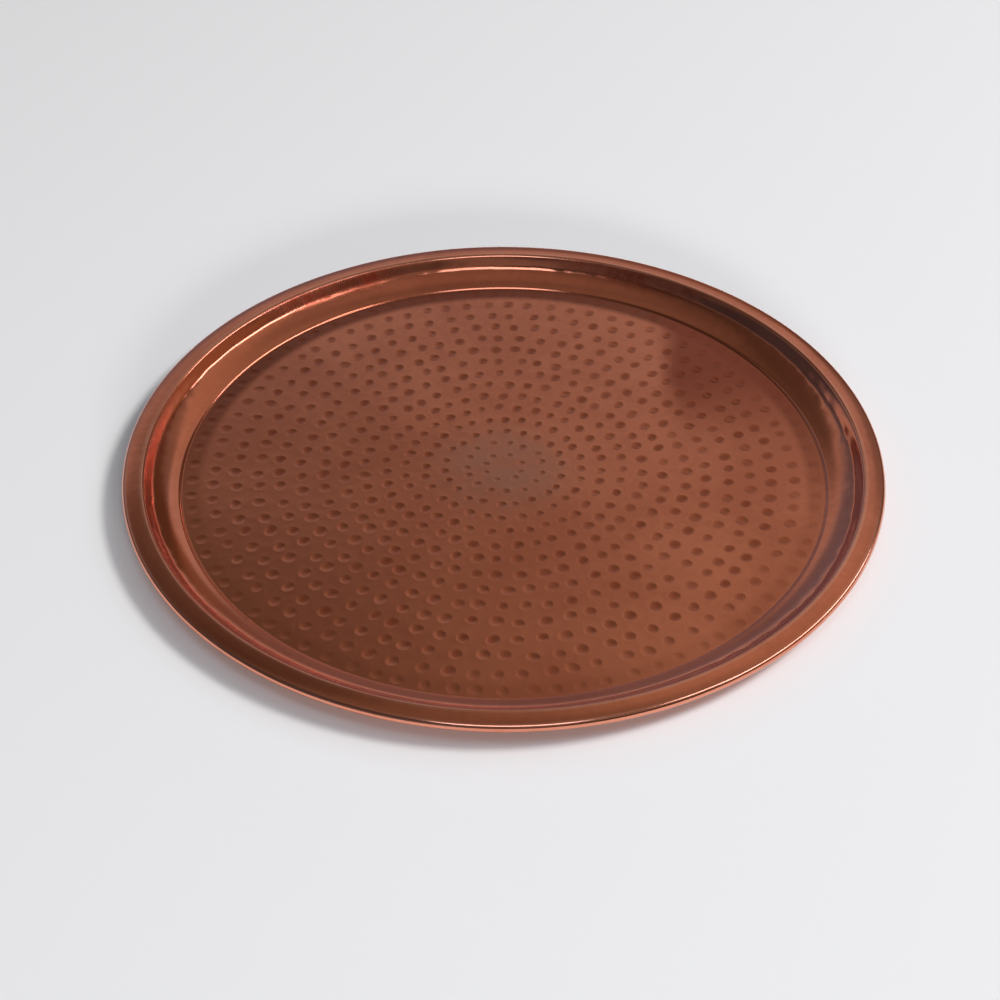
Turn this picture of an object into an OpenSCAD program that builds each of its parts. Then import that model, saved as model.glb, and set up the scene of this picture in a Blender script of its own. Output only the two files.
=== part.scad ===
// Round hammered copper serving tray with a wired edge, in millimetres.
// One spun and hammered sheet makes the floor, the wall, the rim and the rolled edge.
// A wire ring closed inside the rolled edge stiffens it.
// Origin: centre of the underside. +Z: up, the tray's axis of revolution.

/* [Tray] */
// Overall diameter, over the rolled edge
tray_d = 350; // [250:1:500]
// Overall height, from the underside to the top of the crest
tray_h = 12.1; // [12:0.1:13]
// Thickness of the copper sheet
sheet_t = 0.9; // [0.7:0.1:1.0]

/* [Step round the floor] */
// Steepest slope on the step, in degrees
step_slope = 50; // [45:1:55]
// Hollow radius at the bottom of the step, on the top side
step_hollow_r = 1.2; // [1.0:0.1:1.4]
// Crown radius at the top of the step, on the top side
step_crown_r = 1.8; // [1.6:0.1:2.0]

/* [Wall and rim] */
// Width of the wall, from the edge of the flat floor to the top of the crest
wall_w = 17.6; // [17:0.1:18]
// Slope at which the coved wall starts, in degrees
cove_slope = 9; // [8:1:10]
// Slope at which the cove runs into the tighter bend at mid-wall, in degrees
bend_slope = 36; // [35:1:37]
// Radius of the bend at mid-wall, on the top side
bend_r = 7.5; // [6.5:0.5:8.5]
// Slope of the straight upper wall, in degrees
wall_slope = 55; // [54:1:56]
// Radius of the crest between wall and rim, on the top side
crest_r = 2.0; // [1.8:0.1:2.2]
// Width of the flat rim, from the crest to the wire
rim_w = 6.6; // [5:0.1:8]
// Fall of the flat rim towards its outer edge, in degrees
rim_fall = 1.5; // [0.5:0.5:3]

/* [Wired edge] */
// Diameter of the wire inside the rolled edge
wire_d = 2.2; // [2.0:0.1:2.6]
// How far the sheet is rolled round the wire, in degrees
roll_turn = 290; // [200:5:295]
// Gap between the two butted ends of the wire, along the ring
wire_gap = 0.8; // [0.2:0.1:3]

/* [Hidden] */
$fn = 96;
// Play between the wire and the sheet rolled round it
wire_play = 0.02;
// Turn from one point of a bend to the next, in degrees
bend_step = 5;

// Bend radii on the sheet's middle line, which the section is drawn along
half_t = sheet_t / 2;
hollow_mid_r = step_hollow_r + half_t;
crown_mid_r = step_crown_r - half_t;
bend_mid_r = bend_r + half_t;
crest_mid_r = crest_r - half_t;
roll_mid_r = wire_d / 2 + wire_play + half_t;

// Where a bend ends that turns from slope a to slope b, starting at p.
// A hollow bend has its centre above the sheet, a crowned bend below it.
function hollow_end(p, r, a, b) = p + r * [sin(b) - sin(a), cos(a) - cos(b)];
function crown_end(p, r, a, b) = p + r * [sin(a) - sin(b), cos(b) - cos(a)];

// The middle line from the wire inwards
wire_x = tray_d / 2 - roll_mid_r - half_t;
crest_top = [wire_x - rim_w, tray_h - half_t];
wall_end = crest_top - crest_mid_r * [sin(wall_slope), 1 - cos(wall_slope)];
rim_start = crown_end(wall_end, crest_mid_r, wall_slope, -rim_fall);
rim_end_x = wire_x + roll_mid_r * sin(rim_fall);
rim_end = [rim_end_x, rim_start[1] - (rim_end_x - rim_start[0]) * tan(rim_fall)];
wire_pos = rim_end - roll_mid_r * [sin(rim_fall), cos(rim_fall)];

// The middle line from the floor outwards
floor_end = [crest_top[0] - wall_w, half_t];
step_middle = hollow_end(floor_end, hollow_mid_r, 0, step_slope);
cove_start = crown_end(step_middle, crown_mid_r, step_slope, cove_slope);

// The cove's radius, which leaves a straight upper wall that meets the crest. It is
// worked out from the way still to go once the bend and the cove's slopes are known.
reach = wall_end - hollow_end(cove_start, bend_mid_r, bend_slope, wall_slope);
across_cove = [sin(bend_slope) - sin(cove_slope), cos(cove_slope) - cos(bend_slope)];
cove_mid_r = (reach[0] * sin(wall_slope) - reach[1] * cos(wall_slope))
    / (across_cove[0] * sin(wall_slope) - across_cove[1] * cos(wall_slope));
bend_start = hollow_end(cove_start, cove_mid_r, cove_slope, bend_slope);

// Points along a bend, each with its slope: [[x, z], slope]. skip = 1 leaves out the
// first one, where a bend follows straight on from another.
function slopes(a, b, skip) =
    let (steps = ceil(abs(b - a) / bend_step))
    [for (i = [skip:steps]) a + (b - a) * i / steps];
function hollow_bend(p, r, a, b, skip = 0) =
    [for (s = slopes(a, b, skip)) [hollow_end(p, r, a, s), s]];
function crown_bend(p, r, a, b, skip = 0) =
    [for (s = slopes(a, b, skip)) [crown_end(p, r, a, s), s]];

middle_line = concat(
    [[[0, half_t], 0]],
    hollow_bend(floor_end, hollow_mid_r, 0, step_slope),
    crown_bend(step_middle, crown_mid_r, step_slope, cove_slope, skip = 1),
    hollow_bend(cove_start, cove_mid_r, cove_slope, bend_slope, skip = 1),
    hollow_bend(bend_start, bend_mid_r, bend_slope, wall_slope, skip = 1),
    crown_bend(wall_end, crest_mid_r, wall_slope, -rim_fall),
    crown_bend(rim_end, roll_mid_r, -rim_fall, -rim_fall - roll_turn)
);

// One side of the sheet, half a thickness off its middle line
function sheet_side(off) = [for (m = middle_line) m[0] + off * [-sin(m[1]), cos(m[1])]];
function reversed(list) = [for (i = [len(list) - 1:-1:0]) list[i]];

// Floor, wall, rim and rolled edge, all one sheet
module tray_pan() {
    color("peru")
        rotate_extrude()
            polygon(concat(sheet_side(-half_t), reversed(sheet_side(half_t))));
}

// Stiffening wire, bent to a ring with its two ends butted inside the roll
module edge_wire() {
    gap_angle = 360 * wire_gap / (2 * PI * wire_pos[0]);
    color("silver")
        rotate([0, 0, gap_angle / 2])
            rotate_extrude(angle = 360 - gap_angle)
                translate(wire_pos)
                    circle(d = wire_d);
}

tray_pan();
edge_wire();
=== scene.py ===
import random
from math import atan2, cos, dist, hypot, radians, sin, tau

import bmesh
import bpy
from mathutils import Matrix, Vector


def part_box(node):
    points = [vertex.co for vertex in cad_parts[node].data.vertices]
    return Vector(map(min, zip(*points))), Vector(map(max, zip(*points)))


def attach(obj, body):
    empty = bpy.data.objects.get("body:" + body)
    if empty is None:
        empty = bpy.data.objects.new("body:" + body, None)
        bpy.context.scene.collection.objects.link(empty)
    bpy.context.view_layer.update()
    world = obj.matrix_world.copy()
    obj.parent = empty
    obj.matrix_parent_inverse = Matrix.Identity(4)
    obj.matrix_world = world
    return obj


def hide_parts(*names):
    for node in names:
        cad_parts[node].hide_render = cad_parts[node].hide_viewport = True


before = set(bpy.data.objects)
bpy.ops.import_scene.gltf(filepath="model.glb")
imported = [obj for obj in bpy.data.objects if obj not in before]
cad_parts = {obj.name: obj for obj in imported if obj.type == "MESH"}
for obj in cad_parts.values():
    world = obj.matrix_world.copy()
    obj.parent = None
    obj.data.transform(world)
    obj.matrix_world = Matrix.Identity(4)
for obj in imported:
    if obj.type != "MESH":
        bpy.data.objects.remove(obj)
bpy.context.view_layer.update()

panLow, panHigh = (Vector(corner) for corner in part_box("tray_pan"))


def deselectAll():
    if bpy.context.mode != "OBJECT":
        bpy.ops.object.mode_set(mode="OBJECT")
    bpy.ops.object.select_all(action="DESELECT")


def pick(piece, *others):
    # piece becomes the active object, and only it and the others are selected
    deselectAll()
    for one in (piece, *others):
        one.select_set(True)
    bpy.context.view_layer.objects.active = piece


def aimAt(thing, target):
    thing.rotation_euler = (Vector(target) - thing.location).to_track_quat("-Z", "Y").to_euler()


def selectInEdit(piece, kind, test):
    # in edit mode, leaves only those vertices, edges or faces selected whose middle passes the test
    mesh = bmesh.from_edit_mesh(piece.data)
    chosen = []
    for part in getattr(mesh, kind):
        if not part.select:
            continue
        if kind == "verts":
            middle = part.co
        elif kind == "edges":
            middle = (part.verts[0].co + part.verts[1].co) / 2
        else:
            middle = part.calc_center_median()
        if test(middle):
            chosen.append(part)
    for part in (*mesh.faces, *mesh.edges, *mesh.verts):
        part.select = False
    for part in chosen:
        part.select_set(True)
    bmesh.update_edit_mesh(piece.data)
    return len(chosen)


camera = {
    "lens": 67.4,
    "distance": 0.875,
    "elevation": 39.12,
    "below": 0.94,    # degrees that it aims below the tray's centre
    "beside": 0.11,   # and to the left of it
}


def addCamera(values):
    up = radians(values["elevation"])
    place = (0, -values["distance"] * cos(up), values["distance"] * sin(up))
    bpy.ops.object.camera_add(location=place)
    eye = bpy.context.object
    eye.name = "trayCamera"
    eye.data.lens = values["lens"]
    eye.data.sensor_width = 36
    eye.data.clip_start = 0.01
    tilt = radians(90 - values["elevation"] - values["below"])
    eye.rotation_euler = (tilt, 0, radians(values["beside"] / cos(up)))
    bpy.context.scene.camera = eye


# the copper pan, drawn as the top side of its sheet from the edge of the flat floor to the end of the roll

pan = {
    "spokes": 560,
    "sheet": 0.0009,
    "flatRing": 0.0004,       # flat band outside the dented floor
    "stepSlope": 50, "stepHollow": 0.0012, "stepCrown": 0.0018,
    "coveSlope": 9, "coveRadius": 0.02265,
    "bendSlope": 36, "bendRadius": 0.0075,
    "wallSlope": 55, "wallStraight": 0.00425,
    "crestRadius": 0.0020, "rimWidth": 0.0066, "rimFall": 1.5,
    "rollRadius": 0.00202, "rollTurn": 290,
    "waveSize": 0.075,        # slow unevenness of the whole sheet
    "waveDepth": 0.00022,
}

planish = {
    "blows": 112,             # one row of hammer blows round the wall's bend
    "inFrom": 0.0137,         # how far the row lies in from the outer edge
    "halfLength": 0.0062,
    "halfWidth": 0.0026,
    "depth": 0.00020,
    "rippleSize": 0.011,      # faint ripples over the rest of the wall
    "rippleDepth": 0.00006,
    "seed": 4,
}

dents = {
    "rings": 15,
    "sides": 12,
    "radius": 0.0030,
    "outline": 1.10,          # flat ring kept round each dent, as a share of its radius
    "depth": 0.00024,
    "lip": 0.000007,          # metal pushed up round a dent
    "sizeSpread": 0.12,
    "turnSpread": 0.14,       # share of the pitch
    "ringSpread": 0.0009,
    "bumpSides": 7,           # the same marks seen from below
    "bumpHeight": 0.00015,
    "seed": 11,
}


def bend(line, radius, slopeA, slopeB, steps):
    # adds an arc to the line, from one slope to another; hollow when it turns up, crowned when it turns down
    r, z = line[-1]
    side = 1 if slopeB > slopeA else -1
    a, b = radians(slopeA), radians(slopeB)
    for i in range(1, steps + 1):
        s = a + (b - a) * i / steps
        line.append((r + side * radius * (sin(s) - sin(a)), z + side * radius * (cos(a) - cos(s))))


def straight(line, length, slope, steps=1):
    r, z = line[-1]
    for i in range(1, steps + 1):
        way = length * i / steps
        line.append((r + way * cos(radians(slope)), z + way * sin(radians(slope))))


def sheetLine(values):
    # the top side of the sheet as (radius, height), shifted so that the roll ends at the pan's own radius
    line = [(0, panLow.z + values["sheet"])]
    straight(line, values["flatRing"], 0)
    bend(line, values["stepHollow"], 0, values["stepSlope"], 4)
    bend(line, values["stepCrown"], values["stepSlope"], values["coveSlope"], 4)
    bend(line, values["coveRadius"], values["coveSlope"], values["bendSlope"], 7)
    bend(line, values["bendRadius"], values["bendSlope"], values["wallSlope"], 6)
    straight(line, values["wallStraight"], values["wallSlope"], 3)
    bend(line, values["crestRadius"], values["wallSlope"], -values["rimFall"], 6)
    straight(line, values["rimWidth"], -values["rimFall"], 2)
    bend(line, values["rollRadius"], -values["rimFall"], -values["rimFall"] - values["rollTurn"], 14)
    shift = panHigh.x - max(r for r, z in line)
    return [(r + shift, z) for r, z in line]


def drawWall(values, line):
    # a circle at the floor's edge, extruded ring by ring along the line
    deselectAll()
    r, z = line[0]
    bpy.ops.mesh.primitive_circle_add(vertices=values["spokes"], radius=r, fill_type="NOTHING",
                                      location=(0, 0, z))
    wall = bpy.context.object
    bpy.ops.object.transform_apply(location=True, rotation=True, scale=True)
    bpy.ops.object.mode_set(mode="EDIT")
    bpy.ops.mesh.select_all(action="SELECT")
    for nextR, nextZ in line[1:]:
        bpy.ops.mesh.extrude_edges_move(TRANSFORM_OT_translate={"value": (0, 0, nextZ - z)})
        bpy.ops.transform.resize(value=(nextR / r, nextR / r, 1), center_override=(0, 0, 0))
        r, z = nextR, nextZ
    bpy.ops.object.mode_set(mode="OBJECT")
    return wall


def planishWall(wall, values):
    # a row of long shallow blows overlapping round the bend of the wall, each a little off its place
    chance = random.Random(values["seed"])
    pitch = tau / values["blows"]
    blows = [(chance.uniform(-0.25, 0.25), chance.uniform(-0.0008, 0.0008), chance.uniform(0.4, 1.0))
             for i in range(values["blows"])]
    row = wall.vertex_groups.new(name="row")
    rest = wall.vertex_groups.new(name="rest")
    for vertex in wall.data.vertices:
        fromEdge = panHigh.x - hypot(vertex.co.x, vertex.co.y)
        if not 0.0088 < fromEdge < 0.0225 or vertex.co.z < 0.001:
            continue
        rest.add([vertex.index], min(1, (fromEdge - 0.0088) / 0.002, (0.0225 - fromEdge) / 0.003), "REPLACE")
        turn = atan2(vertex.co.y, vertex.co.x) / pitch
        hollow = 0
        for i in range(round(turn) - 2, round(turn) + 3):
            offTurn, offRow, strength = blows[i % values["blows"]]
            along = (turn - i - offTurn) * pitch * 0.161 / values["halfLength"]
            across = (fromEdge - values["inFrom"] - offRow) / values["halfWidth"]
            hollow = max(hollow, strength * (1 - along * along - across * across))
        if hollow > 0:
            row.add([vertex.index], min(1, hollow), "REPLACE")
    hammer = wall.modifiers.new("hammer", "DISPLACE")
    hammer.vertex_group = row.name
    hammer.strength = -values["depth"]
    hammer.mid_level = 0
    ripples = bpy.data.textures.new("wallRipples", "CLOUDS")
    ripples.noise_scale = values["rippleSize"]
    ripples.noise_depth = 1
    ripple = wall.modifiers.new("ripple", "DISPLACE")
    ripple.texture = ripples
    ripple.texture_coords = "LOCAL"
    ripple.vertex_group = rest.name
    ripple.strength = values["rippleDepth"]
    ripple.mid_level = 0.5
    pick(wall)
    bpy.ops.object.modifier_apply(modifier=hammer.name)
    bpy.ops.object.modifier_apply(modifier=ripple.name)
    wall.vertex_groups.clear()


def turnUp(wall):
    # the faces of the open sheet point up and inwards
    pick(wall)
    bpy.ops.object.mode_set(mode="EDIT")
    bpy.ops.mesh.select_all(action="SELECT")
    bpy.ops.mesh.normals_make_consistent(inside=False)
    bpy.ops.object.mode_set(mode="OBJECT")
    flat = min(wall.data.polygons, key=lambda face: hypot(face.center.x, face.center.y))
    if flat.normal.z < 0:
        bpy.ops.object.mode_set(mode="EDIT")
        bpy.ops.mesh.flip_normals()
        bpy.ops.object.mode_set(mode="OBJECT")


def thickenWall(wall, values):
    # the sheet's thickness, downwards
    sheet = wall.modifiers.new("sheet", "SOLIDIFY")
    sheet.thickness = values["sheet"]
    sheet.offset = -1
    sheet.use_even_offset = True
    sheet.material_offset = 1
    bpy.ops.object.modifier_apply(modifier=sheet.name)
    # the closing faces at the floor's edge go, so that both sides of the floor can be filled in
    edge = min(hypot(v.co.x, v.co.y) for v in wall.data.vertices)
    bpy.ops.object.mode_set(mode="EDIT")
    bpy.ops.mesh.select_mode(type="FACE")
    bpy.ops.mesh.select_all(action="SELECT")
    selectInEdit(wall, "faces", lambda c: hypot(c.x, c.y) < edge + 0.0001)
    bpy.ops.mesh.delete(type="FACE")
    bpy.ops.object.mode_set(mode="OBJECT")
    return edge


def dentPlaces(values, limit):
    # concentric rings of hammer blows, each a little off its place: (x, y, size, depth, tone)
    chance = random.Random(values["seed"])
    places = []
    for i in range(1, values["rings"] + 1):
        ringRadius = (8.9 * i + 0.052 * i * i) * 0.001
        pitch = (6.4 + 0.5 * i - 0.013 * i * i) * 0.001
        count = round(tau * ringRadius / pitch)
        start = chance.uniform(0, tau)
        inner = min(1.04, 0.61 + 0.06 * i)             # smaller blows towards the centre
        fade = {1: 0.55, 2: 0.7, 14: 0.75, 15: 0.4}.get(i, 1)
        for k in range(count):
            angle = start + (k + values["turnSpread"] * chance.uniform(-1, 1)) * tau / count
            size = inner * (1 + values["sizeSpread"] * chance.uniform(-1, 1))
            reach = values["radius"] * values["outline"] * size
            r = ringRadius + values["ringSpread"] * chance.uniform(-1, 1)
            r = min(r, limit - reach - 0.0002)
            depth = fade * chance.uniform(0.65, 1.2)
            tone = fade * chance.uniform(0.45, 1.0)
            x, y = r * cos(angle), r * sin(angle)
            near = [dist((x, y), (px, py)) - values["radius"] * values["outline"] * ps
                    for px, py, ps, pd, pt in places[-110:]]
            room = min(near, default=1) - 0.0001
            if room < 0.5 * reach:
                continue
            if room < reach:
                size *= room / reach
            places.append((x, y, size, depth, tone))
    return places


def makeDent(values):
    # one blow: a flat ring, a slight lip and a bowl, pointing down from z = 0
    deselectAll()
    radius = values["radius"]
    bpy.ops.mesh.primitive_circle_add(vertices=values["sides"], radius=radius * values["outline"],
                                      fill_type="NGON")
    dent = bpy.context.object
    bpy.ops.object.mode_set(mode="EDIT")
    bpy.ops.mesh.select_mode(type="FACE")
    bpy.ops.mesh.select_all(action="SELECT")
    depth, lip = values["depth"], values["lip"]
    bpy.ops.mesh.inset(thickness=radius * (values["outline"] - 1), depth=lip)
    bpy.ops.mesh.inset(thickness=radius * 0.24, depth=-0.40 * depth - lip)
    bpy.ops.mesh.inset(thickness=radius * 0.36, depth=-0.46 * depth)
    bpy.ops.mesh.poke(offset=-0.14 * depth)
    bpy.ops.object.mode_set(mode="OBJECT")
    markDent(dent, depth)
    return dent


def makeBump(values):
    # the same blow seen from below: a low flat-topped bump
    deselectAll()
    radius = values["radius"]
    bpy.ops.mesh.primitive_circle_add(vertices=values["bumpSides"], radius=radius * values["outline"],
                                      fill_type="NGON")
    bump = bpy.context.object
    bpy.ops.object.mode_set(mode="EDIT")
    bpy.ops.mesh.select_mode(type="FACE")
    bpy.ops.mesh.select_all(action="SELECT")
    bpy.ops.mesh.inset(thickness=radius * 0.62, depth=-values["bumpHeight"])
    bpy.ops.mesh.flip_normals()
    bpy.ops.object.mode_set(mode="OBJECT")
    markDent(bump, values["bumpHeight"])
    return bump


def markDent(blow, depth):
    # a point attribute that the copper reads: 0 round the blow, 1 at its bottom
    mark = blow.data.attributes.new("dent", "FLOAT", "POINT")
    for vertex in blow.data.vertices:
        mark.data[vertex.index].value = max(0, min(1, -vertex.co.z / (0.80 * depth)))


def strike(stamp, places, height):
    # copies of the blow, each with its own mesh, joined into one piece
    copies = []
    chance = random.Random(len(places))
    for x, y, size, depth, tone in places:
        stretch = chance.uniform(0.90, 1.06)
        turn = chance.uniform(0, tau)
        copy = stamp.copy()
        copy.data = stamp.data.copy()
        copy.location = (x, y, height)
        copy.scale = (size * stretch, size / stretch, depth)
        copy.rotation_euler.z = turn
        for value in copy.data.attributes["dent"].data:
            value.value *= tone
        bpy.context.collection.objects.link(copy)
        copies.append(copy)
    bpy.data.objects.remove(stamp)
    pick(*copies)
    bpy.ops.object.join()
    bpy.ops.object.transform_apply(location=True, rotation=True, scale=True)
    return bpy.context.object


def fillLand(piece, height):
    # the flat metal between the blows on one side of the floor
    bpy.ops.object.mode_set(mode="EDIT")
    bpy.ops.mesh.select_mode(type="EDGE")
    bpy.ops.mesh.select_all(action="DESELECT")
    bpy.ops.mesh.select_non_manifold(extend=False, use_wire=False, use_boundary=True, use_multi_face=False,
                                     use_non_contiguous=False, use_verts=False)
    edges = selectInEdit(piece, "edges", lambda c: abs(c.z - height) < 0.00002)
    bpy.ops.mesh.fill(use_beauty=True)
    bpy.ops.object.mode_set(mode="OBJECT")
    print("  land filled between", edges, "edges")


def buildPan():
    line = sheetLine(pan)
    wall = drawWall(pan, line)
    turnUp(wall)
    planishWall(wall, planish)
    edge = thickenWall(wall, pan)
    print("pan: wall, rim and roll drawn,", len(wall.data.polygons), "faces")

    topHeight = line[0][1]
    places = dentPlaces(dents, edge)
    blows = strike(makeDent(dents), places, topHeight)
    pick(wall, blows)
    bpy.ops.object.join()
    fillLand(wall, topHeight)
    print("pan: floor struck with", len(places), "blows")

    # below, a narrow foot ring stays on the table and the floor between is raised by the bumps' height
    low = min(v.co.z for v in wall.data.vertices)
    foot = edge - 0.0012
    bpy.ops.object.mode_set(mode="EDIT")
    bpy.ops.mesh.select_mode(type="EDGE")
    bpy.ops.mesh.select_all(action="DESELECT")
    bpy.ops.mesh.select_non_manifold(extend=False, use_wire=False, use_boundary=True, use_multi_face=False,
                                     use_non_contiguous=False, use_verts=False)
    selectInEdit(wall, "edges", lambda c: c.z < low + 0.00002)
    bpy.ops.mesh.extrude_edges_move(TRANSFORM_OT_translate={"value": (0, 0, dents["bumpHeight"])})
    bpy.ops.transform.resize(value=(foot / edge, foot / edge, 1), center_override=(0, 0, 0))
    bpy.ops.object.mode_set(mode="OBJECT")
    reach = dents["radius"] * dents["outline"]
    below = [(x, y, size, 1, tone) for x, y, size, depth, tone in places
             if hypot(x, y) + reach * size < foot - 0.0002]
    bumps = strike(makeBump(dents), below, low + dents["bumpHeight"])
    pick(wall, bumps)
    bpy.ops.object.join()
    fillLand(wall, low + dents["bumpHeight"])

    bpy.ops.object.mode_set(mode="EDIT")
    bpy.ops.mesh.select_all(action="SELECT")
    bpy.ops.mesh.normals_make_consistent(inside=False)
    bpy.ops.object.mode_set(mode="OBJECT")

    # slow unevenness left by the hand work
    wave = bpy.data.textures.new("slowWaves", "CLOUDS")
    wave.noise_scale = pan["waveSize"]
    wave.noise_depth = 0
    uneven = wall.modifiers.new("uneven", "DISPLACE")
    uneven.texture = wave
    uneven.texture_coords = "LOCAL"
    uneven.direction = "Z"
    uneven.strength = pan["waveDepth"]
    uneven.mid_level = 0.04    # so that nothing sinks into the table
    bpy.ops.object.modifier_apply(modifier=uneven.name)
    bpy.ops.object.shade_smooth_by_angle(angle=radians(50))
    wall.name = "hammered_pan"
    wall.data.name = "hammered_pan"
    print("pan: closed, with", sum(len(face.vertices) - 2 for face in wall.data.polygons), "triangles")
    return wall


def addNode(tree, kind, inputs=None, **settings):
    node = tree.nodes.new(kind)
    for name, value in settings.items():
        setattr(node, name, value)
    for name, value in (inputs or {}).items():
        if isinstance(value, bpy.types.NodeSocket):
            tree.links.new(value, node.inputs[name])
        else:
            node.inputs[name].default_value = value
    return node


def math(tree, operation, a, b=0.0, clamp=False):
    return addNode(tree, "ShaderNodeMath", {0: a, 1: b}, operation=operation, use_clamp=clamp).outputs[0]


def ramp(tree, value, low, high, toLow=0.0, toHigh=1.0):
    return addNode(tree, "ShaderNodeMapRange", {"Value": value, "From Min": low, "From Max": high,
                   "To Min": toLow, "To Max": toHigh}, interpolation_type="SMOOTHSTEP").outputs["Result"]


def blendColours(tree, share, a, b, way="MIX"):
    return addNode(tree, "ShaderNodeMix", {0: share, 6: a, 7: b}, data_type="RGBA", blend_type=way).outputs[2]


def noise(tree, vector, scale, detail=3.0, roughness=0.5, distortion=0.0):
    return addNode(tree, "ShaderNodeTexNoise", {"Vector": vector, "Scale": scale, "Detail": detail,
                   "Roughness": roughness, "Distortion": distortion}).outputs["Fac"]


def newGroup(name, inputs, outputs):
    group = bpy.data.node_groups.new(name, "ShaderNodeTree")
    for label, kind, value in inputs:
        socket = group.interface.new_socket(label, in_out="INPUT", socket_type=kind)
        if value is not None:
            socket.default_value = value
    for label, kind in outputs:
        group.interface.new_socket(label, in_out="OUTPUT", socket_type=kind)
    return group, group.nodes.new("NodeGroupInput").outputs, group.nodes.new("NodeGroupOutput").inputs


def useGroup(tree, group, inputs):
    return addNode(tree, "ShaderNodeGroup", inputs, node_tree=group).outputs


def tarnishGroup():
    # cloudy darkening, large clouds broken up by small specks
    group, given, result = newGroup(
        "tarnish",
        [("Vector", "NodeSocketVector", None), ("Cloud Scale", "NodeSocketFloat", 14.0),
         ("Speck Scale", "NodeSocketFloat", 220.0), ("Specks", "NodeSocketFloat", 0.3)],
        [("Mask", "NodeSocketFloat")])
    clouds = noise(group, given["Vector"], given["Cloud Scale"], 4.0, 0.55, 0.6)
    specks = noise(group, given["Vector"], given["Speck Scale"], 3.0, 0.65)
    mixed = math(group, "MULTIPLY_ADD", math(group, "SUBTRACT", specks, 0.5), given["Specks"])
    mixed.node.inputs[2].default_value = 0.0
    total = math(group, "ADD", clouds, mixed)
    group.links.new(ramp(group, total, 0.34, 0.68), result["Mask"])
    return group


def rubbingGroup():
    # marks of polishing: fine rings about the tray's axis, broken up, and short stray scratches
    group, given, result = newGroup(
        "rubbing",
        [("Vector", "NodeSocketVector", None), ("Rings", "NodeSocketFloat", 500.0),
         ("Scratches", "NodeSocketFloat", 900.0)],
        [("Height", "NodeSocketFloat"), ("Wear", "NodeSocketFloat")])
    rings = addNode(group, "ShaderNodeTexWave", {"Vector": given["Vector"], "Scale": given["Rings"],
                    "Distortion": 6.0, "Detail": 3.0, "Detail Scale": 0.6, "Detail Roughness": 0.6},
                    wave_type="RINGS", rings_direction="Z").outputs["Fac"]
    along = addNode(group, "ShaderNodeMapping", {"Vector": given["Vector"], "Rotation": (0, 0, 0.7),
                    "Scale": (1.0, 0.06, 1.0)}).outputs["Vector"]
    scratches = noise(group, along, given["Scratches"], 2.0, 0.6)
    thin = ramp(group, scratches, 0.62, 0.72)
    height = math(group, "ADD", math(group, "MULTIPLY", rings, 0.5), math(group, "MULTIPLY", thin, -0.5))
    group.links.new(height, result["Height"])
    group.links.new(thin, result["Wear"])
    return group


copperTop = {
    "bright": (0.84, 0.25, 0.132, 1),    # burnished rim and wall
    "floor": (0.77, 0.232, 0.118, 1),    # rubbed floor
    "aged": (0.47, 0.100, 0.040, 1),     # browned patches
    "grey": (0.62, 0.245, 0.15, 1),      # dull disc in the middle
    "inDent": (0.44, 0.086, 0.027, 1),
    "paintedFootShade": (0.24, 0.044, 0.012, 1),   # painted shade: a dark ring along the foot of the wall
    "reflectedDark": (0.35, 0.065, 0.024, 1),    # painted dark reflection on the floor
    "paleWearAndHighlight": (0.93, 0.43, 0.29, 1),       # metal rubbed pale on the crest and the rolled edge, with painted highlight there
    # how much pale wear and painted highlight goes on the crest and the rolled edge
    "wear": 0.5,
    "stainAndShade": (0.40, 0.060, 0.024, 1),    # red oxide on the wall, and painted shade that dims a reflection on its left side
    "stainsAndShade": 1.0,
    "patch": 0.95,                       # share of the painted dark reflection on the floor, towards the back right
    "floorRoughness": 0.20,
    "wallRoughness": 0.12,
    "dentRoughness": 0.40,
    "dentShare": 0.8,
    "coat": 0.25,
    "tarnish": 0.32,
    # strength of the painted shade along the foot of the wall
    "footShadeStrength": 0.88,
    "rings": 420.0,
    "bump": 0.10,
}

copperUnder = {
    "bright": (0.70, 0.33, 0.21, 1),
    "floor": (0.58, 0.235, 0.14, 1),
    "aged": (0.30, 0.10, 0.055, 1),
    "grey": (0.45, 0.20, 0.13, 1),
    "inDent": (0.70, 0.34, 0.23, 1),     # the bumps are rubbed bright
    "floorRoughness": 0.42,
    "wallRoughness": 0.34,
    "dentRoughness": 0.30,
    "dentShare": 0.8,
    # painted shade along the foot of the wall, below
    "paintedFootShade": (0.30, 0.10, 0.055, 1),
    # painted dark reflection, below
    "reflectedDark": (0.30, 0.10, 0.055, 1),
    "paleWearAndHighlight": (0.80, 0.45, 0.33, 1),
    "wear": 0.3,
    "stainAndShade": (0.30, 0.08, 0.04, 1),
    "stainsAndShade": 0.4,
    "patch": 0.2,
    "coat": 0.0,
    "tarnish": 0.85,
    "footShadeStrength": 0.2,
    "rings": 300.0,
    "bump": 0.16,
}

wireSteel = {
    "steel": (0.56, 0.55, 0.54, 1),
    "rust": (0.22, 0.10, 0.05, 1),
    "roughness": 0.38,
}


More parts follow.
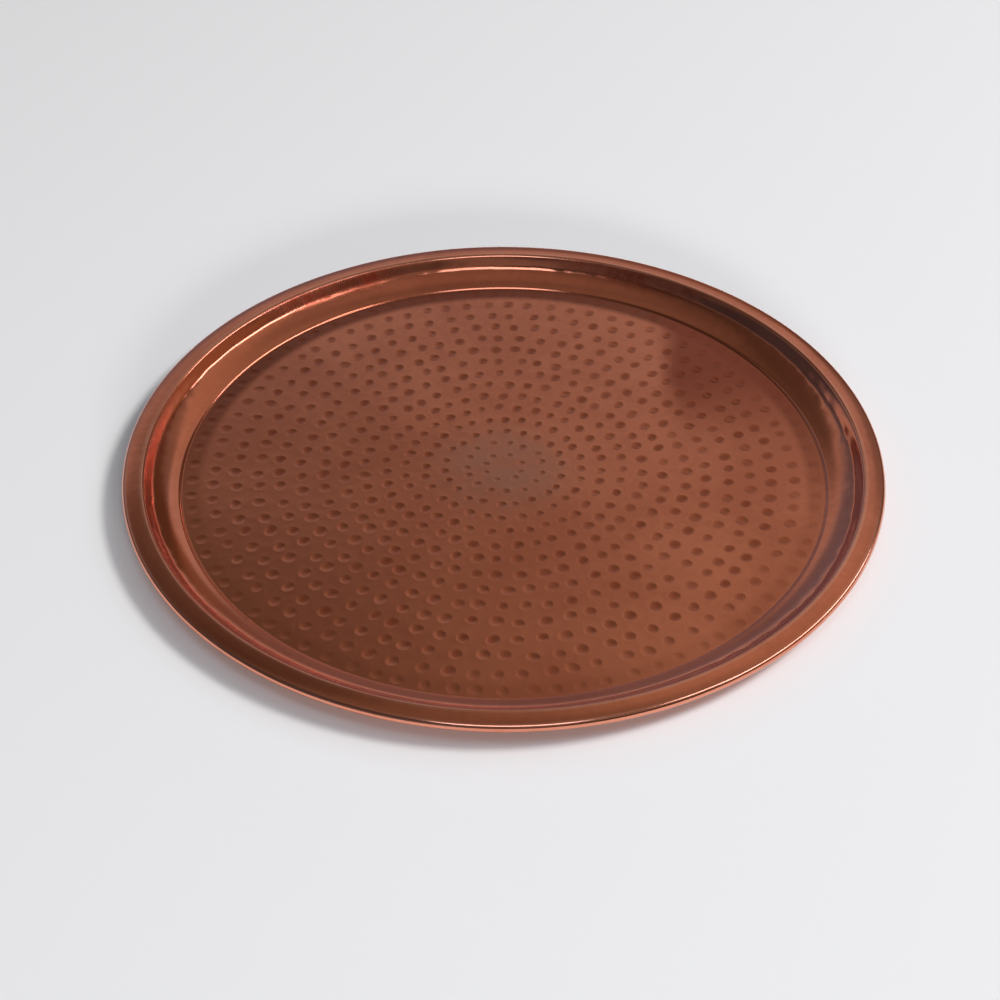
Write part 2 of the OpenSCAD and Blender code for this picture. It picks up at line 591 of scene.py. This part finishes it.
# where each tone lies on the pan; most are how far in from the outer edge it starts and ends
zones = {
    "wallFoot": (0.0275, 0.0245),
    "footRingIn": (0.0365, 0.0315), "footRingOut": (0.0262, 0.0250),
    "crestIn": (0.0104, 0.0094), "crestOut": (0.0082, 0.0072),
    "rolledEdge": (0.0026, 0.0012),
    "patchOut": (0.028, 0.024),
    "stainAndShadeOut": (0.0085, 0.0095),
    # the rest are plain distances
    "middle": (0.008, 0.046),                        # from the axis
    "backHalf": (-0.06, 0.09),                       # along Y
    "patchSide": (0.086, 0.100), "patchFront": (0.000, 0.080), "patchWaves": 0.022,
    "stainAndShadeReach": (0.156, 0.1625), "stainAndShadeLow": (0.0035, 0.0065),
    "stainsAndShadeAt": ((66, 0.9), (122, 1.0), (180, 0.4), (203, 0.35)),   # turn in degrees, strength: red oxide at 66 and 122, painted shade at 180 and 203
}


def zone(tree, radius, name, toLow=0.0, toHigh=1.0):
    start, end = zones[name]
    return ramp(tree, radius, panHigh.x - start, panHigh.x - end, toLow, toHigh)


def copperMaterial(name, values, tarnish, rubbing):
    material = bpy.data.materials.new(name)
    material.use_nodes = True
    tree = material.node_tree
    tree.nodes.clear()
    place = addNode(tree, "ShaderNodeTexCoord").outputs["Object"]
    axes = addNode(tree, "ShaderNodeSeparateXYZ", {"Vector": place}).outputs
    flat = addNode(tree, "ShaderNodeCombineXYZ", {"X": axes["X"], "Y": axes["Y"]}).outputs["Vector"]
    radius = addNode(tree, "ShaderNodeVectorMath", {0: flat}, operation="LENGTH").outputs["Value"]
    dent = addNode(tree, "ShaderNodeAttribute", attribute_name="dent").outputs["Fac"]
    clouds = useGroup(tree, tarnish, {"Vector": place, "Cloud Scale": 13.0, "Speck Scale": 260.0,
                                      "Specks": 0.35})["Mask"]
    marks = useGroup(tree, rubbing, {"Vector": place, "Rings": values["rings"], "Scratches": 700.0})

    # zones by distance from the axis
    onFloor = zone(tree, radius, "wallFoot", 1.0, 0.0)
    inMiddle = ramp(tree, radius, *zones["middle"], 1.0, 0.0)
    paintedFootShade = math(tree, "MULTIPLY", zone(tree, radius, "footRingIn"),
                  zone(tree, radius, "footRingOut", 1.0, 0.0))

    base = blendColours(tree, onFloor, values["bright"], values["floor"])
    aging = math(tree, "MULTIPLY", clouds, values["tarnish"])
    base = blendColours(tree, aging, base, values["aged"])
    # painted shade: a dark ring at the floor's edge, strongest towards the back
    atBack = ramp(tree, axes["Y"], *zones["backHalf"], 0.15, 1.0)
    paintedFootShade = math(tree, "MULTIPLY", math(tree, "MULTIPLY", paintedFootShade, atBack), values["footShadeStrength"])
    base = blendColours(tree, paintedFootShade, base, values["paintedFootShade"])
    # painted reflection: a darker part of the floor towards the back right, with a wavy border
    wavy = math(tree, "MULTIPLY", noise(tree, place, 22.0, 3.0), zones["patchWaves"])
    across = math(tree, "ADD", axes["X"], wavy)
    darkReflection = math(tree, "MULTIPLY", ramp(tree, across, *zones["patchSide"]),
                   ramp(tree, axes["Y"], *zones["patchFront"]))
    darkReflection = math(tree, "MULTIPLY", darkReflection, zone(tree, radius, "patchOut", values["patch"], 0.0))
    base = blendColours(tree, darkReflection, base, values["reflectedDark"])
    # red oxide on the upper wall, with painted shade at 180 and 203 degrees that dims a reflection
    stainedAndShaded = 0.0
    for angle, strength in zones["stainsAndShadeAt"]:
        toStain = (cos(radians(angle)), sin(radians(angle)), 0)
        aside = addNode(tree, "ShaderNodeVectorMath", {0: place, 1: toStain},
                        operation="DOT_PRODUCT").outputs["Value"]
        stainAndShade = math(tree, "MULTIPLY", ramp(tree, aside, *zones["stainAndShadeReach"]),
                     ramp(tree, axes["Z"], *zones["stainAndShadeLow"]))
        stainAndShade = math(tree, "MULTIPLY", stainAndShade, zone(tree, radius, "stainAndShadeOut", 0.0, 1.0))
        stainAndShade = math(tree, "MULTIPLY", stainAndShade, ramp(tree, clouds, 0.0, 0.6, 0.5 * strength, strength))
        stainedAndShaded = math(tree, "MAXIMUM", stainAndShade, stainedAndShaded)
    base = blendColours(tree, math(tree, "MULTIPLY", stainedAndShaded, values["stainsAndShade"]), base, values["stainAndShade"])
    # the crest and the rolled edge made paler: partly wear, partly painted highlight
    onCrest = math(tree, "MULTIPLY", zone(tree, radius, "crestIn"), zone(tree, radius, "crestOut", 1.0, 0.0))
    ridges = math(tree, "MAXIMUM", onCrest, zone(tree, radius, "rolledEdge"))
    broken = ramp(tree, noise(tree, place, 34.0, 3.0), 0.3, 0.6, 0.5, 1.0)
    wornAndLitRidges = math(tree, "MULTIPLY", ridges, broken)
    base = blendColours(tree, math(tree, "MULTIPLY", wornAndLitRidges, values["wear"]), base, values["paleWearAndHighlight"])
    mottled = ramp(tree, noise(tree, place, 60.0, 4.0), 0.3, 0.62, 0.35, 0.9)
    base = blendColours(tree, math(tree, "MULTIPLY", inMiddle, mottled), base, values["grey"])
    dented = math(tree, "MULTIPLY", dent, values["dentShare"])
    base = blendColours(tree, dented, base, values["inDent"])

    rough = addNode(tree, "ShaderNodeMix", {0: onFloor, 2: values["wallRoughness"],
                    3: values["floorRoughness"]}, data_type="FLOAT").outputs[0]
    for mask, more in ((clouds, 0.04), (marks["Wear"], 0.04), (stainedAndShaded, 0.28)):
        rough = math(tree, "ADD", rough, math(tree, "MULTIPLY", mask, more))
    rough = addNode(tree, "ShaderNodeMix", {0: dented, 2: rough, 3: values["dentRoughness"]},
                    data_type="FLOAT").outputs[0]

    hollows = noise(tree, place, 120.0, 2.0, 0.5)
    height = math(tree, "ADD", hollows, math(tree, "MULTIPLY", marks["Height"], 0.03))
    bump = addNode(tree, "ShaderNodeBump", {"Height": height, "Distance": 0.0004, "Strength": values["bump"]})
    shader = addNode(tree, "ShaderNodeBsdfPrincipled", {
        "Base Color": base, "Roughness": rough, "Metallic": 1.0, "Coat Weight": values["coat"],
        "Coat Roughness": 0.09, "Normal": bump.outputs["Normal"]})
    addNode(tree, "ShaderNodeOutputMaterial", {"Surface": shader.outputs["BSDF"]})
    return material


def wireMaterial(values, tarnish, rubbing):
    material = bpy.data.materials.new("wireSteel")
    material.use_nodes = True
    tree = material.node_tree
    tree.nodes.clear()
    place = addNode(tree, "ShaderNodeTexCoord").outputs["Object"]
    rust = useGroup(tree, tarnish, {"Vector": place, "Cloud Scale": 45.0, "Speck Scale": 900.0,
                                    "Specks": 0.6})["Mask"]
    marks = useGroup(tree, rubbing, {"Vector": place, "Rings": 900.0, "Scratches": 1500.0})
    base = blendColours(tree, math(tree, "MULTIPLY", rust, 0.5), values["steel"], values["rust"])
    rough = math(tree, "MULTIPLY_ADD", rust, 0.25)
    rough.node.inputs[2].default_value = values["roughness"]
    metal = ramp(tree, rust, 0.5, 1.0, 1.0, 0.6)
    bump = addNode(tree, "ShaderNodeBump", {"Height": marks["Height"], "Distance": 0.00005, "Strength": 0.3})
    shader = addNode(tree, "ShaderNodeBsdfPrincipled", {"Base Color": base, "Roughness": rough,
                     "Metallic": metal, "Normal": bump.outputs["Normal"]})
    addNode(tree, "ShaderNodeOutputMaterial", {"Surface": shader.outputs["BSDF"]})
    return material


# the table, the lights and the room
studio = {
    "table": (0.88, 0.86, 0.84, 1),
    "tableSize": 16.0,
    "lamps": (
        # a long slanting window at the right and a narrow panel above it, which the copper mirrors
        {"name": "windowLight", "place": (3.07, 0.49, 2.52), "size": (3.2, 0.46), "power": 31.0,
         "colour": (0.90, 0.97, 1.2), "slant": -30},
        {"name": "sideLight", "place": (2.0, -0.40, 3.44), "size": (1.0, 0.6), "power": 6.5,
         "colour": (0.95, 1, 1.1)},
        # two lamps that light the table only: one throws the shadow, one opens it up at the front
        {"name": "keyLight", "place": (3.33, 0.29, 3.72), "size": (1.4, 1.0), "power": 132.0,
         "colour": (1, 0.99, 0.98), "mirrored": False},
        {"name": "fillLight", "place": (1.2, -5.4, 1.0), "size": (2.4, 0.6), "power": 235.0,
         "colour": (1, 0.99, 0.98), "mirrored": False},
        # a faint panel high in front
        {"name": "frontLight", "place": (0.05, -0.82, 1.82), "size": (0.86, 0.68), "power": 4.4,
         "colour": (0.8, 1, 1.25)},
    ),
    # the dim room by height of the line of sight, from level to straight up
    "room": (
        (0.00, (0.55, 0.55, 0.55)), (0.08, (0.42, 0.42, 0.42)), (0.19, (0.20, 0.20, 0.20)),
        (0.44, (0.21, 0.21, 0.21)), (0.52, (0.44, 0.47, 0.49)), (0.575, (0.47, 0.50, 0.52)),
        (0.62, (0.34, 0.35, 0.36)), (0.68, (0.275, 0.265, 0.24)), (0.76, (0.24, 0.23, 0.20)),
        (0.90, (0.19, 0.18, 0.165)), (1.00, (0.28, 0.26, 0.24)),
    ),
    "roomLeft": (1.0, 1.30, 1.90, 1),     # tint of its lower parts
    "roomRight": (1.0, 0.72, 0.50, 1),
    "leftToRight": (-0.25, 0.25),
    # the rest are spans of a sight line's X, Y or Z, some with the values at their two ends
    "tinted": (0.40, 0.55, 1.0, 0.0),
    "aloft": (0.06, 0.18),
    "lean": (0.58, 0.71, 0.35, 6.5),      # how far the right outshines the left, by height
    "leanTop": (0.68, 0.86, 1.0, 0.12),
    "leanRange": (-0.55, 0.75, 0.36, 1.78),
    "farLeft": (-0.90, -0.60, 0.45, 1.0),
    "inFront": (-0.60, 0.20, 0.5, 1.0),
    "doorwaySide": (0.18, 0.28), "doorwayHeight": (0.60, 0.67, 0.55, 0.0),
    "lowRightSide": (0.65, 0.88), "lowRightHeight": (0.36, 0.44, 1.5, 0.0),
}


def addTable(values):
    deselectAll()
    bpy.ops.mesh.primitive_plane_add(size=values["tableSize"], location=(0, 0, panLow.z))
    table = bpy.context.object
    table.name = "pale_table"
    material = bpy.data.materials.new("paleTable")
    material.use_nodes = True
    shader = material.node_tree.nodes["Principled BSDF"]
    shader.inputs["Base Color"].default_value = values["table"]
    shader.inputs["Roughness"].default_value = 0.75
    shader.inputs["Specular IOR Level"].default_value = 0.2
    table.data.materials.append(material)


def addSoftbox(lamp):
    bpy.ops.object.light_add(type="AREA", location=lamp["place"])
    box = bpy.context.object
    box.name = lamp["name"]
    box.data.shape = "RECTANGLE"
    box.data.size, box.data.size_y = lamp["size"]
    box.data.energy = lamp["power"]
    box.data.color = lamp["colour"]
    box.visible_camera = False
    box.visible_glossy = lamp.get("mirrored", True)
    aimAt(box, (0, 0, 0))
    box.rotation_euler.rotate_axis("Z", radians(lamp.get("slant", 0)))


def lightRoom(values):
    for lamp in values["lamps"]:
        addSoftbox(lamp)
    world = bpy.data.worlds.new("dimRoom")
    bpy.context.scene.world = world
    world.use_nodes = True
    tree = world.node_tree
    tree.nodes.clear()
    way = addNode(tree, "ShaderNodeTexCoord").outputs["Generated"]
    axes = addNode(tree, "ShaderNodeSeparateXYZ", {"Vector": way}).outputs
    heights = addNode(tree, "ShaderNodeValToRGB", {"Fac": axes["Z"]})
    stops = heights.color_ramp.elements
    while len(stops) < len(values["room"]):
        stops.new(1)
    for stop, (position, colour) in zip(stops, values["room"]):
        stop.position = position
        stop.color = (*colour, 1)
    tint = blendColours(tree, ramp(tree, axes["X"], *values["leftToRight"]), values["roomLeft"],
                        values["roomRight"])
    aloft = ramp(tree, axes["Z"], *values["aloft"])
    tinted = math(tree, "MULTIPLY", ramp(tree, axes["Z"], *values["tinted"]), aloft)
    colour = blendColours(tree, tinted, heights.outputs["Color"], tint, "MULTIPLY")
    # brighter to the right, most of all at middle height, and dark at the far left and in front
    steepness = math(tree, "MULTIPLY", ramp(tree, axes["Z"], *values["lean"]),
                     ramp(tree, axes["Z"], *values["leanTop"]))
    leaning = math(tree, "MULTIPLY", axes["X"], steepness)
    low, high, toLow, toHigh = values["leanRange"]
    sides = addNode(tree, "ShaderNodeMapRange", {"Value": leaning, "From Min": low, "From Max": high,
                    "To Min": toLow, "To Max": toHigh}).outputs["Result"]
    sides = math(tree, "MULTIPLY", sides, ramp(tree, axes["X"], *values["farLeft"]))
    sides = math(tree, "MULTIPLY", sides, ramp(tree, axes["Y"], *values["inFront"]))
    doorway = math(tree, "MULTIPLY", ramp(tree, axes["X"], *values["doorwaySide"]),
                   ramp(tree, axes["Z"], *values["doorwayHeight"]))
    sides = math(tree, "MULTIPLY", sides, math(tree, "SUBTRACT", 1.0, doorway))
    lowRight = math(tree, "MULTIPLY", ramp(tree, axes["X"], *values["lowRightSide"]),
                    ramp(tree, axes["Z"], *values["lowRightHeight"]))
    sides = math(tree, "MULTIPLY", sides, math(tree, "ADD", 1.0, lowRight))
    # near the level of the table the room is the same all round
    strength = addNode(tree, "ShaderNodeMix", {0: aloft, 2: 1.0, 3: sides}, data_type="FLOAT").outputs[0]
    background = addNode(tree, "ShaderNodeBackground", {"Color": colour, "Strength": strength})
    addNode(tree, "ShaderNodeOutputWorld", {"Surface": background.outputs["Background"]})


addCamera(camera)
print("camera placed")

copperPan = buildPan()
tarnish = tarnishGroup()
rubbing = rubbingGroup()
copperPan.data.materials.append(copperMaterial("hammeredCopper", copperTop, tarnish, rubbing))
copperPan.data.materials.append(copperMaterial("undersideCopper", copperUnder, tarnish, rubbing))
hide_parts("tray_pan")
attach(copperPan, "root")
print("pan: copper on")

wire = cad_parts["edge_wire"]
wire.data.materials.clear()
wire.data.materials.append(wireMaterial(wireSteel, tarnish, rubbing))
print("wire: steel on")

addTable(studio)
lightRoom(studio)
bpy.context.scene.view_settings.view_transform = "Standard"
print("table and lights placed")
